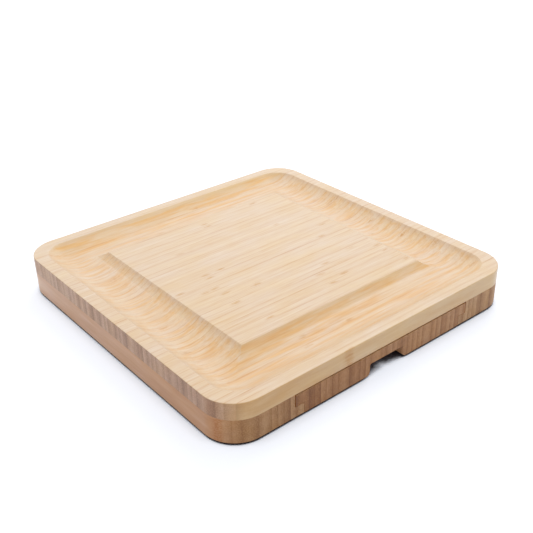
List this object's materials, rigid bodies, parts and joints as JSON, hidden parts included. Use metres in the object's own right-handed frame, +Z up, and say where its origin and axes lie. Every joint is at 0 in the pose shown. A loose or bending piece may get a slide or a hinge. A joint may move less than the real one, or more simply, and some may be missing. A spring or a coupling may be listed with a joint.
{
  "type": "cheese board with drawer",
  "caption": "Square laminated bamboo board with a cove milled round a flat serving area, and a drawer of cheese tools that slides out from under it.",
  "frame": {"origin": "middle of the footprint, on the surface that the feet stand on", "axes": "+X to the right of someone facing the drawer front, +Y to the back, +Z up; the drawer slides out along -Y"},
  "size_m": [0.33, 0.33, 0.039],
  "materials": {
    "top_bamboo": "oiled, satin, long grain along X",
    "base_bamboo": "oiled, satin, long grain along Y",
    "tray_bamboo": "oiled, satin, long grain along Y",
    "handle_bamboo": "oiled, satin",
    "blade_steel": "fine satin, brushed along the blade",
    "collar_steel": "polished",
    "screw_steel": "zinc plated",
    "magnet_nickel": "nickel plated",
    "foot_rubber": "matte"
  },
  "bodies": {
    "board": {"top_board": "top_bamboo", "base_left_rail": "base_bamboo", "base_right_rail": "base_bamboo", "base_back_rail": "base_bamboo", "drawer_stop_screw_left": "screw_steel", "drawer_stop_screw_right": "screw_steel", "rail_magnet_left": "magnet_nickel", "rail_magnet_right": "magnet_nickel", "foot_front_left": "foot_rubber", "foot_front_right": "foot_rubber", "foot_back_left": "foot_rubber", "foot_back_right": "foot_rubber"},
    "drawer": {"drawer_tray": "tray_bamboo", "drawer_magnet_left": "magnet_nickel", "drawer_magnet_right": "magnet_nickel", "cheese_knife_handle": "handle_bamboo", "cheese_knife_collar": "collar_steel", "cheese_knife_blade": "blade_steel", "cheese_fork_handle": "handle_bamboo", "cheese_fork_collar": "collar_steel", "cheese_fork_blade": "blade_steel", "cheese_cleaver_handle": "handle_bamboo", "cheese_cleaver_collar": "collar_steel", "cheese_cleaver_blade": "blade_steel", "cheese_spade_handle": "handle_bamboo", "cheese_spade_collar": "collar_steel", "cheese_spade_blade": "blade_steel"}
  },
  "joints": [
    {"name": "drawer_slide", "type": "slide", "parent": "board", "child": "drawer", "axis": [0, -1, 0], "range_m": [0, 0.214]}
  ]
}
